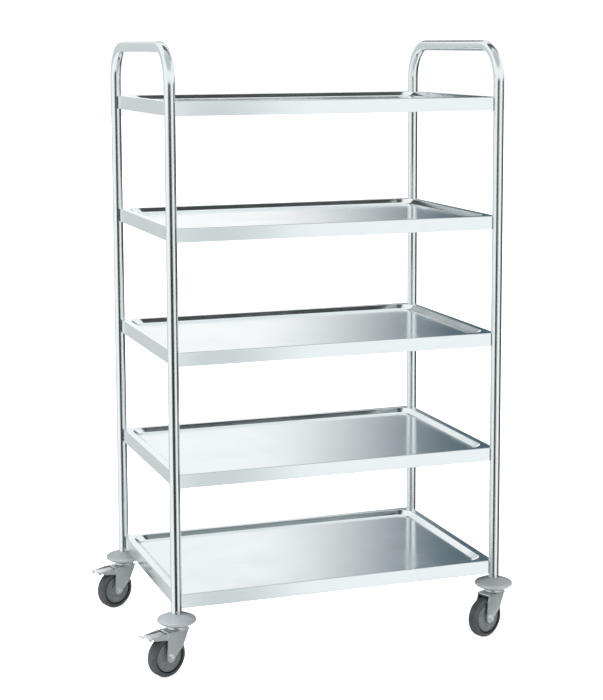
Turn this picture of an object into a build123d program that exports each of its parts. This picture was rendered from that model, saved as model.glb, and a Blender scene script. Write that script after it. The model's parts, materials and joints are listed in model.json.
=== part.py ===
from build123d import *
import os
from math import cos, radians, sin

# Five-tier stainless steel service trolley: two bent tube end frames, five pressed trays welded
# between them, and four swivel casters, the two at the left end with pedal brakes.
# Millimetres, +Z up. The origin is on the floor, midway between the four uprights.
# +X runs along the trays and -Y is the front.

# ---- Driving dimensions ----
TRAY_LENGTH = 830.0          # upright axis to upright axis along X, the tray's outer length
TRAY_WIDTH = 540.0           # upright axis to upright axis along Y, the tray's outer width
TUBE_RADIUS = 13.0
TUBE_WALL = 1.2
TOTAL_HEIGHT = 1496.0
HANDLE_BEND_RADIUS = 88.0    # centreline radius of the two bends above the top tray
TOP_RIM_HEIGHT = 1358.0      # floor to the flange of the top tray
TRAY_SPACING = 292.0
WHEEL_RADIUS = 50.0
CASTER_TURN = 23.0           # degrees about +Z from wheels trailing straight back along -X

# ---- Trays ----
SHEET = 1.0
APRON_HEIGHT = 33.0
HEM_HEIGHT = 9.0             # the apron's lower edge is folded back on itself
FLANGE_WIDTH = 18.0
BASIN_DEPTH = 10.5
BASIN_SLOPE_WIDTH = 15.0
BASIN_TOP_CORNER = 40.0
BASIN_FLOOR_CORNER = 30.0
WELD_RADIUS = 2.8
WELD_HEIGHT = 20.0

# ---- Bumper and stem ----
TUBE_END_HEIGHT = 132.0      # the uprights stand on the shelf inside each bumper
BUMPER_RADIUS = 47.0
BUMPER_BOTTOM = 124.5
BUMPER_FLAT_RADIUS = 38.0    # the flat underside, out to where the rim turns up
BUMPER_RIM_HEIGHT = 131.5
BUMPER_SHOULDER_HEIGHT = 139.0
BUMPER_TOP = 146.0
BUMPER_COLLAR_RADIUS = 16.0
BUMPER_LOWER_ROUND = (2.0, 2.2)    # in from the rim and up from the underside, on the rim's lower curve
BUMPER_UPPER_ROUND = (2.6, 4.8)    # in from the rim and up from its widest line, on the upper curve
STEM_NECK_RADIUS = 9.0
STEM_TOP = 186.0
STEM_CHAMFER = 2.0
SCREW_HEIGHT = 153.0
SCREW_RADIUS = 2.2
SCREW_LENGTH = 6.0
SCREW_HEAD_RADIUS = 3.4
SCREW_HEAD_HEIGHT = 1.4
SCREW_HEAD_ROUND = 0.8

# ---- Swivel head ----
FORK_TOP = 111.0
FORK_SHEET = 2.5
RACE_RADIUS = 24.0
RACE_BOTTOM = 115.0
RACE_SKIRT = 2.5             # how far the race's skirt hangs below it
RACE_SKIRT_WALL = 1.5
RACE_ROUND = 1.5
STEM_DISC_BOTTOM = 118.5
STEM_DISC_RADIUS = 21.0
KINGPIN_RADIUS = 5.0
KINGPIN_HEAD_RADIUS = 9.0
KINGPIN_HEAD_BOTTOM = 103.0
KINGPIN_HEAD_GAP = 0.3       # between the head and the turning plate above it
KINGPIN_HEAD_ROUND = 1.5
BALL_RADIUS = 1.9
BALL_CIRCLE_RADIUS = 17.5
BALL_COUNT = 18

# ---- Fork, wheel and axle, in the caster's own frame ----
TRAIL = 32.0                 # from the swivel axis back to the axle
FORK_HALF_GAP = 17.5
FORK_FRONT = 26.0
FORK_BACK = 37.0
LEG_EYE_RADIUS = 12.0
LEG_FRONT_EDGE = [(26, 111), (25, 102), (19, 90), (6, 71), (-10, 58), (-21, 45)]
LEG_BACK_EDGE = [(-44, 50), (-42, 86), (-40, 94)]
PLAIN_LEG_TOP = [(-37, 100), (-37, 111)]
BRAKED_LEG_TOP = [(-76, 100.5), (-83, 102), (-83, 108), (-26, 113.5), (-19, 111)]
AXLE_RADIUS = 4.0
SLEEVE_RADIUS = 7.0
SLEEVE_HALF_LENGTH = 17.4
HUB_RADIUS = 12.5
HUB_HALF_LENGTH = 16.6
HUB_EDGE = 1.0               # the chamfer round the end of the hub
WEB_HALF_WIDTHS = (9.5, 10.5)      # of the wheel's web, at the hub and at the rim
CORE_RADIUS = 36.0
CORE_RIM = 2.0               # the thickness of the core's rim
CORE_RIM_HALF_WIDTH = 12.0
TYRE_HALF_WIDTH = 14.5
TREAD_HALF_WIDTH = 5.0       # the flat middle of the tread
GROOVE_HALF_WIDTH = 11.0     # of the tyre at the bottom of the groove round each side
GROOVE_WIDTH = 3.5
GROOVE_FLARE = 1.5
NUT_RADIUS = 7.5             # across the corners
NUT_HEIGHT = 6.5
BOLT_HEAD_HEIGHT = 5.5
BOLT_TIP = 1.8

# ---- Brake ----
PIVOT_BACK = 42.0
PIVOT_HEIGHT = 104.0
PIVOT_RADIUS = 2.5
PIVOT_HEAD_RADIUS = 3.8
PIVOT_HEAD_HEIGHT = 1.4
PEDAL_HUB_RADIUS = 4.0
PEDAL_HALF_WIDTH = 16.0
PEDAL_TRAVEL = 14.0          # degrees from released to pressed on the tyre
PEDAL_TOP = [(-42, 108.0), (-84, 108.0), (-96, 111.0), (-110, 115.5)]
TREAD_UNDERSIDE = [(-110.6, 113.7), (-97, 109.2), (-92, 107.6)]
PEDAL_LIP = [(-90, 101.0), (-86, 100.0), (-83.5, 105.4), (-44, 105.4)]
SHOE_GAP = 0.5               # between the pressed shoe and the tyre
SHOE_THICKNESS = 3.0
SHOE_START = 54.0            # degrees above the horizontal through the axle
SHOE_END = 70.0
SHOE_WEB_HALF_WIDTH = 3.0

# ---- Clearances ----
FIT = 0.05                   # radial gap of every running, sliding and welded-up fit
OVERRUN = 1.0                # how far a cutting tool runs past the face that it opens

# ---- Worked out from the above ----
HALF_LENGTH = TRAY_LENGTH / 2
HALF_WIDTH = TRAY_WIDTH / 2
FORK_OUTSIDE = FORK_HALF_GAP + FORK_SHEET
TRAY_NAMES = ["tray_top", "tray_second", "tray_middle", "tray_fourth", "tray_bottom"]
RIM_HEIGHTS = [TOP_RIM_HEIGHT - TRAY_SPACING * index for index in range(len(TRAY_NAMES))]
CORNERS = {
    "front_left": (-HALF_LENGTH, -HALF_WIDTH),
    "back_left": (-HALF_LENGTH, HALF_WIDTH),
    "front_right": (HALF_LENGTH, -HALF_WIDTH),
    "back_right": (HALF_LENGTH, HALF_WIDTH),
}
BRAKED_CORNERS = ("front_left", "back_left")


# ---- Shapes used by several parts ----
def disc(radius, bottom, top, x=0.0, y=0.0):
    """A vertical cylinder between two heights."""
    return Pos(x, y, (bottom + top) / 2) * Cylinder(radius, top - bottom)


def cross_rod(radius, low_y, high_y, x, z):
    """A cylinder along Y between two values of Y."""
    return Pos(x, (low_y + high_y) / 2, z) * Rot(90, 0, 0) * Cylinder(radius, high_y - low_y)


def hexagon_rod(radius, low_y, high_y, x, z):
    """A hexagonal prism along Y, such as a nut or a bolt head."""
    outline = Plane(origin=(x, high_y, z), z_dir=(0, -1, 0)) * RegularPolygon(radius, 6)
    return extrude(outline, high_y - low_y)


def box_spanning(a, b):
    """The box between any two opposite corners."""
    low = [min(p, q) for p, q in zip(a, b)]
    high = [max(p, q) for p, q in zip(a, b)]
    centre = [(p + q) / 2 for p, q in zip(low, high)]
    return Pos(*centre) * Box(*[q - p for p, q in zip(low, high)])


def side_plate(outline, low_y, high_y):
    """A closed outline in the XZ plane, made solid between two values of Y."""
    return extrude(Plane(origin=(0, high_y, 0), x_dir=(1, 0, 0), z_dir=(0, -1, 0)) * outline, high_y - low_y)


# ---- End frames ----
def end_frame(x):
    """One bent tube: two uprights joined by the handle bar, open at both feet."""
    top = TOTAL_HEIGHT - TUBE_RADIUS
    path = FilletPolyline(
        (x, -HALF_WIDTH, TUBE_END_HEIGHT),
        (x, -HALF_WIDTH, top),
        (x, HALF_WIDTH, top),
        (x, HALF_WIDTH, TUBE_END_HEIGHT),
        radius=HANDLE_BEND_RADIUS,
    )
    foot = Plane(origin=(x, -HALF_WIDTH, TUBE_END_HEIGHT), z_dir=(0, 0, 1))
    outside = sweep(foot * Circle(TUBE_RADIUS), path)
    inside = sweep(foot * Circle(TUBE_RADIUS - TUBE_WALL), path)
    frame = outside - inside
    for y in (-HALF_WIDTH, HALF_WIDTH):
        outside_y = y - TUBE_RADIUS - OVERRUN
        inside_y = y - TUBE_RADIUS + 2 * TUBE_WALL
        frame -= cross_rod(SCREW_RADIUS + FIT, outside_y, inside_y, x, SCREW_HEIGHT)
    return frame


# ---- Trays ----
def basin(rim, depth, growth):
    """The space inside a tray's sloping walls, with every side moved out by growth."""

    def outline(inset, corner):
        spread = 2 * (growth - inset)
        return RectangleRounded(TRAY_LENGTH + spread, TRAY_WIDTH + spread, corner + growth)

    mouth = outline(FLANGE_WIDTH, BASIN_TOP_CORNER)
    floor = outline(FLANGE_WIDTH + BASIN_SLOPE_WIDTH, BASIN_FLOOR_CORNER)
    return loft([Plane.XY.offset(rim - depth) * floor, Plane.XY.offset(rim) * mouth])


def tray(rim):
    """A pressed tray: apron with a folded hem, flat flange, sloping walls and a flat floor."""
    bottom = rim - APRON_HEIGHT
    under_flange = rim - SHEET
    apron_x = HALF_LENGTH - SHEET
    apron_y = HALF_WIDTH - SHEET
    hem_x = apron_x - SHEET
    hem_y = apron_y - SHEET
    body = box_spanning((-HALF_LENGTH, -HALF_WIDTH, bottom), (HALF_LENGTH, HALF_WIDTH, rim))
    body -= box_spanning((-hem_x, -hem_y, bottom - OVERRUN), (hem_x, hem_y, under_flange))
    body -= box_spanning((-apron_x, -apron_y, bottom + HEM_HEIGHT), (apron_x, apron_y, under_flange))
    body += basin(rim, BASIN_DEPTH + SHEET, SHEET)
    body -= basin(rim, BASIN_DEPTH, 0.0)
    for x, y in CORNERS.values():
        body -= disc(TUBE_RADIUS + FIT, bottom - OVERRUN, rim + OVERRUN, x, y)
    return body


def weld_beads(x, y):
    """The fillet welds on the inner side of one upright, two under the flange of every tray."""
    toward_x = -1 if x > 0 else 1
    toward_y = -1 if y > 0 else 1
    skin = SHEET + FIT
    reach = TUBE_RADIUS + FIT
    clear = TUBE_RADIUS + 2 * WELD_RADIUS
    tube = disc(reach, 0, TOTAL_HEIGHT, x, y)
    inner_quarter = box_spanning((x + toward_x * skin, y + toward_y * skin, 0),
                                 (x + toward_x * clear, y + toward_y * clear, TOTAL_HEIGHT))
    beads = []
    for rim in RIM_HEIGHTS:
        top = rim - skin
        for along_x, along_y in ((reach, skin), (skin, reach)):
            bead = disc(WELD_RADIUS, top - WELD_HEIGHT, top, x + toward_x * along_x, y + toward_y * along_y)
            beads.extend(((bead & inner_quarter) - tube).solids())
    return Compound(beads)


# ---- Fixed caster pieces, centred on the swivel axis ----
def bumper():
    """A soft plastic disc clamped between the upright and the stem, wider than the tray corner."""
    neck = STEM_NECK_RADIUS + FIT
    socket = TUBE_RADIUS + FIT
    rim_lower = (BUMPER_RADIUS - BUMPER_LOWER_ROUND[0], 0, BUMPER_BOTTOM + BUMPER_LOWER_ROUND[1])
    rim_upper = (BUMPER_RADIUS - BUMPER_UPPER_ROUND[0], 0, BUMPER_RIM_HEIGHT + BUMPER_UPPER_ROUND[1])
    flat_edge = (BUMPER_FLAT_RADIUS, 0, BUMPER_BOTTOM)
    rim = (BUMPER_RADIUS, 0, BUMPER_RIM_HEIGHT)
    shoulder = (BUMPER_FLAT_RADIUS, 0, BUMPER_SHOULDER_HEIGHT)
    profile = [
        Line((neck, 0, BUMPER_BOTTOM), flat_edge),
        ThreePointArc(flat_edge, rim_lower, rim),
        ThreePointArc(rim, rim_upper, shoulder),
        Line(shoulder, (BUMPER_COLLAR_RADIUS, 0, BUMPER_TOP)),
        Line((BUMPER_COLLAR_RADIUS, 0, BUMPER_TOP), (socket, 0, BUMPER_TOP)),
        Line((socket, 0, BUMPER_TOP), (socket, 0, TUBE_END_HEIGHT)),
        Line((socket, 0, TUBE_END_HEIGHT), (neck, 0, TUBE_END_HEIGHT)),
        Line((neck, 0, TUBE_END_HEIGHT), (neck, 0, BUMPER_BOTTOM)),
    ]
    return revolve(make_face(profile), Axis.Z)


def stem():
    """The caster's fixing: a plug inside the upright, a neck through the bumper and a disc below it."""
    plug = disc(TUBE_RADIUS - TUBE_WALL - FIT, TUBE_END_HEIGHT, STEM_TOP)
    plug = chamfer(plug.edges().sort_by(Axis.Z)[-1], STEM_CHAMFER)
    body = plug + disc(STEM_NECK_RADIUS, BUMPER_BOTTOM, TUBE_END_HEIGHT)
    body += disc(STEM_DISC_RADIUS, STEM_DISC_BOTTOM, BUMPER_BOTTOM)
    body -= disc(KINGPIN_RADIUS + FIT, STEM_DISC_BOTTOM - OVERRUN, TUBE_END_HEIGHT)
    tapped_to = -TUBE_RADIUS + SCREW_LENGTH
    return body - cross_rod(SCREW_RADIUS + FIT, -TUBE_RADIUS, tapped_to + FIT, 0, SCREW_HEIGHT)


def swivel_race():
    """The fixed upper race: a pressed cup whose skirt hides the balls."""
    lowest = RACE_BOTTOM - RACE_SKIRT
    cup = disc(RACE_RADIUS, lowest, STEM_DISC_BOTTOM)
    cup = fillet(cup.edges().sort_by(Axis.Z)[-1], RACE_ROUND)
    cup -= disc(RACE_RADIUS - RACE_SKIRT_WALL, lowest - OVERRUN, RACE_BOTTOM)
    return cup - disc(KINGPIN_RADIUS + FIT, RACE_BOTTOM - OVERRUN, STEM_DISC_BOTTOM + OVERRUN)


def kingpin():
    """The rivet that the fork turns on, headed below the fork's top plate."""
    shank = disc(KINGPIN_RADIUS, KINGPIN_HEAD_BOTTOM, TUBE_END_HEIGHT - FIT)
    head = disc(KINGPIN_HEAD_RADIUS, KINGPIN_HEAD_BOTTOM, FORK_TOP - FORK_SHEET - KINGPIN_HEAD_GAP)
    head = fillet(head.edges().sort_by(Axis.Z)[0], KINGPIN_HEAD_ROUND)
    return shank + head


def stem_screw():
    """A pan-head screw through the front of the upright into the stem."""
    head_face = -TUBE_RADIUS - SCREW_HEAD_HEIGHT
    shank = cross_rod(SCREW_RADIUS, head_face, -TUBE_RADIUS + SCREW_LENGTH, 0, SCREW_HEIGHT)
    head = cross_rod(SCREW_HEAD_RADIUS, head_face, -TUBE_RADIUS - FIT, 0, SCREW_HEIGHT)
    return shank + fillet(head.edges().sort_by(Axis.Y)[0], SCREW_HEAD_ROUND)


# ---- Turning caster pieces, trailing towards -X with the nut on the -Y side ----
def bearing_balls():
    """The ring of balls between the fork's top plate and the fixed race."""
    middle = (FORK_TOP + RACE_BOTTOM) / 2
    balls = []
    for place in PolarLocations(BALL_CIRCLE_RADIUS, BALL_COUNT):
        balls.append(Pos(0, 0, middle) * place * Sphere(BALL_RADIUS))
    return Compound(balls)


def leg_outline(braked):
    """The side of the fork: a leg tapering to the axle eye and, with a brake, an arm over the wheel."""
    eye = Pos(-TRAIL, WHEEL_RADIUS) * Circle(LEG_EYE_RADIUS)
    top = BRAKED_LEG_TOP if braked else PLAIN_LEG_TOP
    return make_face(Polyline(*LEG_FRONT_EDGE, *LEG_BACK_EDGE, *top, close=True)) + eye


def fork(braked):
    """The pressed steel fork: a top plate that turns on the kingpin and a leg on each side."""
    under = FORK_TOP - FORK_SHEET
    plate = box_spanning((-FORK_BACK, -FORK_OUTSIDE, under), (FORK_FRONT, FORK_OUTSIDE, FORK_TOP))
    body = plate
    for low_y in (-FORK_OUTSIDE, FORK_HALF_GAP):
        body += side_plate(leg_outline(braked), low_y, low_y + FORK_SHEET)
    body -= disc(KINGPIN_RADIUS + FIT, under - OVERRUN, FORK_TOP + OVERRUN)
    reach = FORK_OUTSIDE + OVERRUN
    body -= cross_rod(AXLE_RADIUS + FIT, -reach, reach, -TRAIL, WHEEL_RADIUS)
    if braked:
        body -= cross_rod(PIVOT_RADIUS + FIT, -reach, reach, -PIVOT_BACK, PIVOT_HEIGHT)
    return body


def axle_bolt():
    """The axle: a hexagon bolt from the far side, its thread showing past the nut."""
    tip = -FORK_OUTSIDE - NUT_HEIGHT - BOLT_TIP
    shank = cross_rod(AXLE_RADIUS, tip, FORK_OUTSIDE, -TRAIL, WHEEL_RADIUS)
    head = hexagon_rod(NUT_RADIUS, FORK_OUTSIDE, FORK_OUTSIDE + BOLT_HEAD_HEIGHT, -TRAIL, WHEEL_RADIUS)
    return shank + head


def axle_nut():
    """The nut on the axle's near end."""
    near = -FORK_OUTSIDE - NUT_HEIGHT
    nut = hexagon_rod(NUT_RADIUS, near, -FORK_OUTSIDE, -TRAIL, WHEEL_RADIUS)
    return nut - cross_rod(AXLE_RADIUS + FIT, near - OVERRUN, 0, -TRAIL, WHEEL_RADIUS)


def wheel_sleeve():
    """The steel tube clamped between the legs, which the wheel turns on."""
    outside = cross_rod(SLEEVE_RADIUS, -SLEEVE_HALF_LENGTH, SLEEVE_HALF_LENGTH, -TRAIL, WHEEL_RADIUS)
    reach = SLEEVE_HALF_LENGTH + OVERRUN
    return outside - cross_rod(AXLE_RADIUS + FIT, -reach, reach, -TRAIL, WHEEL_RADIUS)


def turned_on_axle(half_profile):
    """A wheel part from half its section, as (half width, radius) points, mirrored and revolved."""
    mirrored = [(-width, radius) for width, radius in reversed(half_profile)]
    section = make_face(Polyline(*half_profile, *mirrored, close=True))
    solid = revolve(Plane.XY * section, Axis.X)
    return Pos(-TRAIL, 0, WHEEL_RADIUS) * Rot(0, 0, 90) * solid


def wheel_core():
    """The plastic wheel centre: hub, dished web and the rim that carries the tyre."""
    bore = SLEEVE_RADIUS + FIT
    return turned_on_axle([
        (HUB_HALF_LENGTH, bore),
        (HUB_HALF_LENGTH, HUB_RADIUS - HUB_EDGE),
        (HUB_HALF_LENGTH - HUB_EDGE, HUB_RADIUS),
        (WEB_HALF_WIDTHS[0], HUB_RADIUS + 2 * HUB_EDGE),
        (WEB_HALF_WIDTHS[1], CORE_RADIUS - 2 * CORE_RIM),
        (CORE_RIM_HALF_WIDTH, CORE_RADIUS - CORE_RIM),
        (CORE_RIM_HALF_WIDTH, CORE_RADIUS),
    ])


def tyre():
    """The rubber tyre, with a groove round each side where it meets the core."""
    shoulder = TYRE_HALF_WIDTH - TREAD_HALF_WIDTH
    groove_edge = CORE_RADIUS + GROOVE_WIDTH
    points = [
        (GROOVE_HALF_WIDTH, CORE_RADIUS + FIT),
        (GROOVE_HALF_WIDTH, groove_edge),
        (TYRE_HALF_WIDTH, groove_edge + GROOVE_FLARE),
    ]
    for angle in range(0, 91, 15):
        widest = shoulder * cos(radians(angle))
        points.append((TREAD_HALF_WIDTH + widest, WHEEL_RADIUS - shoulder * (1 - sin(radians(angle)))))
    return turned_on_axle(points)


def brake_pivot():
    """The rivet across the fork's two arms."""
    rod = cross_rod(PIVOT_RADIUS, -FORK_OUTSIDE, FORK_OUTSIDE, -PIVOT_BACK, PIVOT_HEIGHT)
    for low_y in (-FORK_OUTSIDE - PIVOT_HEAD_HEIGHT, FORK_OUTSIDE):
        rod += cross_rod(PIVOT_HEAD_RADIUS, low_y, low_y + PIVOT_HEAD_HEIGHT, -PIVOT_BACK, PIVOT_HEIGHT)
    return rod


def brake_shoe_outline():
    """The shoe as it lies on the tyre, a band round the axle, with a web up to the pedal's plate."""
    inner = WHEEL_RADIUS + SHOE_GAP
    outer = inner + SHOE_THICKNESS
    middle = (SHOE_START + SHOE_END) / 2

    def on_wheel(radius, angle):
        return (-TRAIL - radius * cos(radians(angle)), WHEEL_RADIUS + radius * sin(radians(angle)))

    band = make_face([
        ThreePointArc(on_wheel(inner, SHOE_START), on_wheel(inner, middle), on_wheel(inner, SHOE_END)),
        Line(on_wheel(inner, SHOE_END), on_wheel(outer, SHOE_END)),
        ThreePointArc(on_wheel(outer, SHOE_END), on_wheel(outer, middle), on_wheel(outer, SHOE_START)),
        Line(on_wheel(outer, SHOE_START), on_wheel(inner, SHOE_START)),
    ])
    foot_x, foot_z = on_wheel(inner + SHOE_THICKNESS / 2, middle)
    web = Pos(foot_x, (foot_z + PIVOT_HEIGHT) / 2) * Rectangle(2 * SHOE_WEB_HALF_WIDTH, PIVOT_HEIGHT - foot_z)
    return band + web


def brake_pedal():
    """The foot pedal: a plate, a rising tread with a lip below it, and the shoe over the tyre."""
    pivot = Pos(-PIVOT_BACK, PIVOT_HEIGHT)
    released_shoe = pivot * Rot(0, 0, -PEDAL_TRAVEL) * pivot.inverse() * brake_shoe_outline()
    plate = make_face(Polyline(*PEDAL_TOP, *TREAD_UNDERSIDE, *PEDAL_LIP, close=True))
    outline = released_shoe + plate + pivot * Circle(PEDAL_HUB_RADIUS)
    body = side_plate(outline, -PEDAL_HALF_WIDTH, PEDAL_HALF_WIDTH)
    reach = PEDAL_HALF_WIDTH + OVERRUN
    return body - cross_rod(PIVOT_RADIUS + FIT, -reach, reach, -PIVOT_BACK, PIVOT_HEIGHT)


# ---- Assembly ----
def caster_parts(corner):
    """Every piece of one caster by name, in the caster's own frame."""
    braked = corner in BRAKED_CORNERS
    turning = {
        "bearing_balls": bearing_balls(),
        "fork": fork(braked),
        "axle_bolt": axle_bolt(),
        "axle_nut": axle_nut(),
        "wheel_sleeve": wheel_sleeve(),
        "wheel_core": wheel_core(),
        "tyre": tyre(),
    }
    if braked:
        turning["brake_pivot"] = brake_pivot()
        turning["brake_pedal"] = brake_pedal()
    return {name: Rot(0, 0, CASTER_TURN) * piece for name, piece in turning.items()}


def build():
    """Every piece of the trolley by node name, in place."""
    parts = {"frame_left": end_frame(-HALF_LENGTH), "frame_right": end_frame(HALF_LENGTH)}
    for name, rim in zip(TRAY_NAMES, RIM_HEIGHTS):
        parts[name] = tray(rim)
    screws = []
    for corner, (x, y) in CORNERS.items():
        place = Pos(x, y, 0)
        parts["welds_" + corner] = weld_beads(x, y)
        parts["bumper_" + corner] = place * bumper()
        parts["stem_" + corner] = place * stem()
        parts["swivel_race_" + corner] = place * swivel_race()
        screws.append(place * stem_screw())
        for name, piece in caster_parts(corner).items():
            parts[name + "_" + corner] = place * piece
    parts["stem_screws"] = Compound(screws)
    parts["kingpins"] = Compound([Pos(x, y, 0) * kingpin() for x, y in CORNERS.values()])
    return parts


os.makedirs("parts", exist_ok=True)
for node, piece in build().items():
    export_step(piece, "parts/" + node + ".step")
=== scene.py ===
import json
from math import asin, atan2, cos, hypot, pi, radians, sin, sqrt, tan

import bmesh
import bpy
from mathutils import Matrix, Vector


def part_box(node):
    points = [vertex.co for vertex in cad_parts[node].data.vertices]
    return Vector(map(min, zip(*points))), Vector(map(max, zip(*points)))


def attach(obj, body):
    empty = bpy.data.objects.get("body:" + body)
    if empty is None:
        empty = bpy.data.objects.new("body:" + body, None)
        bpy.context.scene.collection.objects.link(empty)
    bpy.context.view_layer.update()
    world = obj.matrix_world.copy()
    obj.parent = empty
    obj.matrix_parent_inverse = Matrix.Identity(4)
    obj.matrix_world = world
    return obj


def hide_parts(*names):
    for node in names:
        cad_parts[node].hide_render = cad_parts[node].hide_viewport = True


# Five-tier stainless steel service trolley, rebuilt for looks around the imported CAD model.
# Metres. The CAD nodes give every position; the pieces made here stand for the nodes that need finer shapes.

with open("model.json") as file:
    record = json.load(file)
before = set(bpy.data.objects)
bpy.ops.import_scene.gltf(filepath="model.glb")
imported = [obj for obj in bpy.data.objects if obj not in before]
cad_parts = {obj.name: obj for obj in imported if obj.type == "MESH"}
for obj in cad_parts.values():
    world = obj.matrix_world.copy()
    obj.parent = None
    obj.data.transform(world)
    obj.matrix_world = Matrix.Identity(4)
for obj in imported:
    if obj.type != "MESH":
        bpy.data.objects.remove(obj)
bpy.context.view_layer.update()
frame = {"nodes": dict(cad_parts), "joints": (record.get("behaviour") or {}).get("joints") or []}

MM = 0.001
CORNERS = ("front_left", "back_left", "front_right", "back_right")
BRAKED_CORNERS = ("front_left", "back_left")
TRAYS = ("tray_top", "tray_second", "tray_middle", "tray_fourth", "tray_bottom")
SIDES = ("left", "right")

# ---- Sizes of the end frames ----
BEND_RADIUS = 88 * MM         # centreline of the two bends above the top tray
TUBE_WALL = 1.2 * MM
TUBE_FACETS = 48
BEND_STEPS = 24

# ---- Sizes of the trays ----
SHEET = 1 * MM
FLANGE_WIDTH = 18 * MM
BASIN_DEPTH = 10.5 * MM
SLOPE_WIDTH = 15 * MM
MOUTH_CORNER = 40 * MM
FLOOR_CORNER = 30 * MM
MOUTH_BEND = 3 * MM           # where the flange turns down into the basin
FLOOR_BEND = 7 * MM           # where the slope turns into the floor
FLOOR_MARGIN = 2 * MM         # flat strip of floor inside that bend
APRON_BEND = 2 * MM
APRON_START = 3 * MM          # inset of the line where the apron's strip joins the flange
HEM_HEIGHT = 9 * MM
TUBE_GAP = 0.05 * MM          # between a bitten corner and the upright that stands in it
CORNER_STEPS = 14
BEND_FACETS = 5

# ---- Sizes of the bumper discs; holes and collars are given by their radius ----
STEM_HOLE = 9.05 * MM
TUBE_SOCKET = 13.05 * MM
SOCKET_FLOOR = 7.5 * MM       # above the disc's underside
UNDERSIDE_INSET = 9 * MM
UNDERSIDE_ROUNDING = 7 * MM
DISC_EDGE_HEIGHT = 7.4 * MM
DISC_EDGE_ROUNDING = 5.4 * MM
COLLAR_RADIUS = 16.5 * MM
COLLAR_EDGE_DROP = 0.6 * MM
COLLAR_ROUNDING = 1 * MM
COLLAR_ROUNDING_AT = 15.6 * MM
SHOULDER_BULGE = 1.3 * MM
SHOULDER_STEPS = 12

# ---- Sizes of the upper races ----
KINGPIN_HOLE = 5.05 * MM
RACE_SKIRT = 2.5 * MM
RACE_WALL = 1.5 * MM
RACE_LIP = 0.4 * MM
RACE_ROUNDING = 2 * MM

# ---- Sizes of the forks, in the caster's own frame: x forward, wheel trailing towards -x, nut at -y ----
FORK_TOP = 111 * MM
FORK_SHEET = 2.5 * MM
FORK_OUTSIDE = 20 * MM
FORK_FRONT = 26 * MM
FORK_BACK = 37 * MM
EYE_RADIUS = 12 * MM
EYE_TIP = 0.4 * MM            # half of the eye's width at its lowest level
CREASE = -6 * MM              # the leg's flat side ends here and its front part leans inwards
CREASE_SLOPE = 0.13
NOSE_RADIUS = 6 * MM
NOSE_RUN = 9 * MM
NOSE_START = 80 * MM
NOSE_GROWTH = 18 * MM         # the nose reaches its full run this far above its start
NOSE_STEPS = 6
CURL_LEAD = 8 * MM            # the leg starts to curl this far below the nose's start
CURL_GROWTH = 14 * MM
SWEEP_PLAIN = 22              # degrees turned by the front edge of an uncurled leg
SWEEP_CURLED = 90
BACK_AT_AXLE = -44 * MM
PLATE_DEPTH = 3.7 * MM
PLATE_CORNER = 7 * MM
PLATE_ROLL = ((0.0, 2.2), (0.3, 1.1), (1, 0.35), (2.2, 0.0))      # inset and drop of the rolled edge, mm

# The leg's edges seen from the side, as (x, height) in mm.
LEG_FRONT_EDGE = ((-21, 45), (-10, 58), (6, 71), (19, 90), (25, 102), (26, 111))
PLAIN_BACK_EDGE = ((-42, 86), (-41, 92), (-38.5, 98), (-37, 102), (-37, 111))
BRAKED_BACK_EDGE = ((-42, 86), (-41, 92), (-43, 94.5), (-48, 95.8), (-76, 100.5), (-82, 102), (-83.5, 105),
                    (-82, 107.5), (-47, 111))
LEG_LEVELS = (54, 58, 64, 71, 76, 81, 86, 90, 92, 93.5, 94.5, 95.1, 95.8, 97, 98.5, 100.5, 101.2, 102,
              103.5, 105, 106.5, 107.5, 108.5, 109.5, 110.2, 110.7)

# ---- Sizes of the axle's fasteners ----
HEAD_RADIUS = 7.5 * MM        # to the corners
HEAD_CHAMFER = 1.2 * MM
BOLT_HEAD = 5.5 * MM
NUT_END = 6.5 * MM            # beyond the fork's face
WASHER_RADIUS = 9.2 * MM
WASHER = 0.9 * MM
BOLT_RADIUS = 4 * MM
BOLT_END = 8.3 * MM           # beyond the fork's face
BOLT_TIP_ROUNDING = 6 * MM
THREAD_ROOT = 3.6 * MM
THREAD_PITCH = 1 * MM
THREAD_TURNS = 9

# ---- Sizes of the wheels ----
RIB_COUNT = 16
RIB_HEIGHT = 0.55 * MM
RIB_SPAN = (16 * MM, 33.5 * MM)
TYRE_HALF_WIDTH = 14.5 * MM
TYRE_SHOULDER = 9.5 * MM
# tyre faces inside this radius are painted near-black as the groove's shade
GROOVE_EDGE = 39.3 * MM

# One half of each profile, as (radius, height above the middle) in mm.
CENTRE_PROFILE = ((7.05, 16.6), (11.5, 16.6), (12.3, 15.9), (13.2, 11.4), (15.5, 10), (17, 9.8), (24, 10),
                  (30, 10.3), (33, 10.5), (34, 11.8), (35.2, 12), (36, 11.2))
GROOVE_PROFILE = ((36.1, 8), (38.6, 8), (39.2, 12.6), (39.9, 14.1), (40.8, 14.5))

# ---- Sizes of the brake pedals, in the caster's own frame and in mm: x, upper face, half width ----
PEDAL_ARM = ((-44, 107.8, 11.5), (-60, 107.9, 12), (-76, 107.9, 13), (-84, 108.2, 15.6))
PEDAL_TIP = ((-103, 113.3, 12.5), (-107, 114.5, 10.5), (-109.6, 115.2, 8.5), (-110.4, 114.9, 7.6))
ARM_THICKNESS = 2.4
TIP_THICKNESS = 1.7
TREAD_THICKNESS = 2.0
TREAD_START = (-86.5, 108.6, 15.9)
TREAD_STEP = (-3.2, 0.85, -0.35)
TREAD_RIDGES = 5
RIDGE = ((0.9, 0.0), (0.3, 1.0), (-0.3, 1.0), (-0.9, 0.0))         # offset and lift of one ridge's edges
PEDAL_EDGE = 0.7 * MM
CHEEK_OUTLINE = ((-80, 106.6), (-84, 102.5), (-88, 100.3), (-93, 102.0), (-97, 108.6), (-88, 107.5))
CHEEK_FACES = (13.9 * MM, 15.5 * MM)
HUB_RADIUS = 3.9 * MM
HUB_HALF_WIDTH = 12.5 * MM
HUB_FACETS = 24
SHOE_RADII = (54.9 * MM, 57.6 * MM)
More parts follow.
